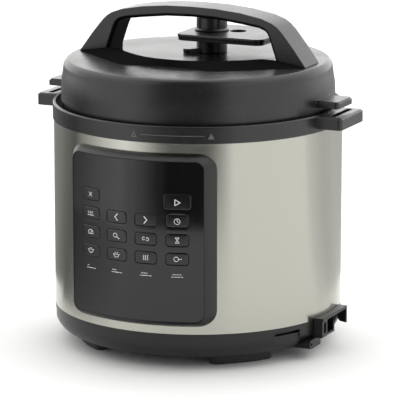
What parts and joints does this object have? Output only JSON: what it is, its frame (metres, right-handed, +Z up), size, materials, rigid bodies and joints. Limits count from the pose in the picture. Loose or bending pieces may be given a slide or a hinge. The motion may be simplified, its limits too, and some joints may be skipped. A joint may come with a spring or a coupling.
{
  "type": "electric pressure cooker",
  "caption": "Round electric pressure cooker: brushed steel body, black base and bayonet lid with bridge handle, steam valve, control panel with keys and lift-out pot.",
  "frame": {"origin": "on the body's vertical axis, on the surface that the feet stand on", "axes": "+Z up along the body's axis, -Y towards the control panel, +X towards the power inlet"},
  "size_m": [0.324, 0.299, 0.328],
  "materials": {
    "satin_black_plastic": "satin moulded plastic",
    "gloss_black_plastic": "high gloss",
    "key_plastic": "high gloss",
    "brushed_shell_steel": "horizontally brushed stainless steel",
    "pressed_steel": "satin stainless steel",
    "cast_aluminium": "cast",
    "foot_rubber": "moulded",
    "silicone": "translucent silicone",
    "circuit_board": "solder mask",
    "component_plastic": "moulded",
    "display_glass": "smoked",
    "pin_brass": "plated",
    "zinc_screw": "zinc plated",
    "red_pin": "satin",
    "mark_grey": "raised marks",
    "fuse_body": "moulded"
  },
  "bodies": {
    "base": {"base_shell": "satin_black_plastic", "bottom_cover": "satin_black_plastic", "feet": "foot_rubber", "base_screws": "zinc_screw", "outer_shell": "brushed_shell_steel", "collar": "satin_black_plastic", "lock_marks": "mark_grey", "pressure_housing": "cast_aluminium", "heat_shield": "pressed_steel", "heating_plate": "cast_aluminium", "heating_element": "pressed_steel", "thermal_fuse": "fuse_body", "pressure_switch": "satin_black_plastic", "sensor_housing": "pressed_steel", "sensor_spring": "pressed_steel", "power_board": "circuit_board", "power_parts": "component_plastic", "ribbon_cable": "component_plastic", "bezel": "satin_black_plastic", "panel_face": "gloss_black_plastic", "control_board": "circuit_board", "display_module": "display_glass", "key_switches": "component_plastic", "inlet_housing": "satin_black_plastic", "inlet_socket": "satin_black_plastic", "inlet_pins": "pin_brass", "cup_rail": "satin_black_plastic"},
    "pot": {"inner_pot": "pressed_steel"},
    "seal": {"sealing_ring": "silicone"},
    "lid": {"inner_lid": "pressed_steel", "lid_cover": "satin_black_plastic", "lid_screws": "zinc_screw", "handle": "satin_black_plastic", "handle_saddle": "satin_black_plastic", "seal_rack": "pressed_steel", "steam_pipe": "pressed_steel", "filter_cap": "pressed_steel", "valve_column": "satin_black_plastic", "guard_plate": "satin_black_plastic", "float_guide": "pressed_steel"},
    "lever": {"release_lever": "satin_black_plastic"},
    "weight": {"valve_weight": "satin_black_plastic"},
    "float": {"float_pin": "red_pin", "float_seal": "silicone"},
    "sensor": {"sensor_button": "cast_aluminium"},
    "cup": {"condensation_cup": "satin_black_plastic"},
    "key_cancel_cap": {"key_cancel": "key_plastic"},
    "key_keep_warm_cap": {"key_keep_warm": "key_plastic"},
    "key_pressure_cap": {"key_pressure": "key_plastic"},
    "key_meal_cap": {"key_meal": "key_plastic"},
    "key_less_cap": {"key_less": "key_plastic"},
    "key_meat_cap": {"key_meat": "key_plastic"},
    "key_rice_cap": {"key_rice": "key_plastic"},
    "key_more_cap": {"key_more": "key_plastic"},
    "key_beans_cap": {"key_beans": "key_plastic"},
    "key_steam_cap": {"key_steam": "key_plastic"},
    "key_start_cap": {"key_start": "key_plastic"},
    "key_delay_cap": {"key_delay": "key_plastic"},
    "key_slow_cap": {"key_slow": "key_plastic"},
    "key_fry_cap": {"key_fry": "key_plastic"}
  },
  "joints": [
    {"name": "pot_lift", "type": "slide", "parent": "base", "child": "pot", "axis": [0, 0, 1], "range_m": [0, 0.2]},
    {"name": "lid_lift", "type": "slide", "parent": "pot", "child": "seal", "axis": [0, 0, 1], "range_m": [0, 0.15]},
    {"name": "lid_turn", "type": "hinge", "parent": "seal", "child": "lid", "pos_m": [0, 0, 0.25], "axis": [0, 0, 1], "range_deg": [0, 30]},
    {"name": "lever_turn", "type": "hinge", "parent": "lid", "child": "lever", "pos_m": [0, 0.032, 0.285], "axis": [0, 0, 1], "range_deg": [0, 60]},
    {"name": "weight_rise", "type": "slide", "parent": "lid", "child": "weight", "axis": [0, 0, 1], "range_m": [0, 0.003]},
    {"name": "float_rise", "type": "slide", "parent": "lid", "child": "float", "axis": [0, 0, 1], "range_m": [0, 0.005]},
    {"name": "sensor_press", "type": "slide", "parent": "base", "child": "sensor", "axis": [0, 0, -1], "range_m": [0, 0.003], "stiffness_N_per_m": 250, "springref_m": -0.001, "deforming": ["sensor_spring"]},
    {"name": "cup_pull", "type": "slide", "parent": "base", "child": "cup", "axis": [0, 1, 0], "range_m": [0, 0.06]},
    {"name": "key_cancel_press", "type": "slide", "parent": "base", "child": "key_cancel_cap", "axis": [0.3013, 0.9535, 0], "range_m": [0, 0.0006], "stiffness_N_per_m": 300, "springref_m": -0.0005},
    {"name": "key_keep_warm_press", "type": "slide", "parent": "base", "child": "key_keep_warm_cap", "axis": [0.3013, 0.9535, 0], "range_m": [0, 0.0006], "stiffness_N_per_m": 300, "springref_m": -0.0005},
    {"name": "key_pressure_press", "type": "slide", "parent": "base", "child": "key_pressure_cap", "axis": [0.3013, 0.9535, 0], "range_m": [0, 0.0006], "stiffness_N_per_m": 300, "springref_m": -0.0005},
    {"name": "key_meal_press", "type": "slide", "parent": "base", "child": "key_meal_cap", "axis": [0.3013, 0.9535, 0], "range_m": [0, 0.0006], "stiffness_N_per_m": 300, "springref_m": -0.0005},
    {"name": "key_less_press", "type": "slide", "parent": "base", "child": "key_less_cap", "axis": [0.1018, 0.9948, 0], "range_m": [0, 0.0006], "stiffness_N_per_m": 300, "springref_m": -0.0005},
    {"name": "key_meat_press", "type": "slide", "parent": "base", "child": "key_meat_cap", "axis": [0.1018, 0.9948, 0], "range_m": [0, 0.0006], "stiffness_N_per_m": 300, "springref_m": -0.0005},
    {"name": "key_rice_press", "type": "slide", "parent": "base", "child": "key_rice_cap", "axis": [0.1018, 0.9948, 0], "range_m": [0, 0.0006], "stiffness_N_per_m": 300, "springref_m": -0.0005},
    {"name": "key_more_press", "type": "slide", "parent": "base", "child": "key_more_cap", "axis": [-0.1018, 0.9948, 0], "range_m": [0, 0.0006], "stiffness_N_per_m": 300, "springref_m": -0.0005},
    {"name": "key_beans_press", "type": "slide", "parent": "base", "child": "key_beans_cap", "axis": [-0.1018, 0.9948, 0], "range_m": [0, 0.0006], "stiffness_N_per_m": 300, "springref_m": -0.0005},
    {"name": "key_steam_press", "type": "slide", "parent": "base", "child": "key_steam_cap", "axis": [-0.1018, 0.9948, 0], "range_m": [0, 0.0006], "stiffness_N_per_m": 300, "springref_m": -0.0005},
    {"name": "key_start_press", "type": "slide", "parent": "base", "child": "key_start_cap", "axis": [-0.3013, 0.9535, 0], "range_m": [0, 0.0006], "stiffness_N_per_m": 300, "springref_m": -0.0005},
    {"name": "key_delay_press", "type": "slide", "parent": "base", "child": "key_delay_cap", "axis": [-0.3013, 0.9535, 0], "range_m": [0, 0.0006], "stiffness_N_per_m": 300, "springref_m": -0.0005},
    {"name": "key_slow_press", "type": "slide", "parent": "base", "child": "key_slow_cap", "axis": [-0.3013, 0.9535, 0], "range_m": [0, 0.0006], "stiffness_N_per_m": 300, "springref_m": -0.0005},
    {"name": "key_fry_press", "type": "slide", "parent": "base", "child": "key_fry_cap", "axis": [-0.3013, 0.9535, 0], "range_m": [0, 0.0006], "stiffness_N_per_m": 300, "springref_m": -0.0005}
  ]
}
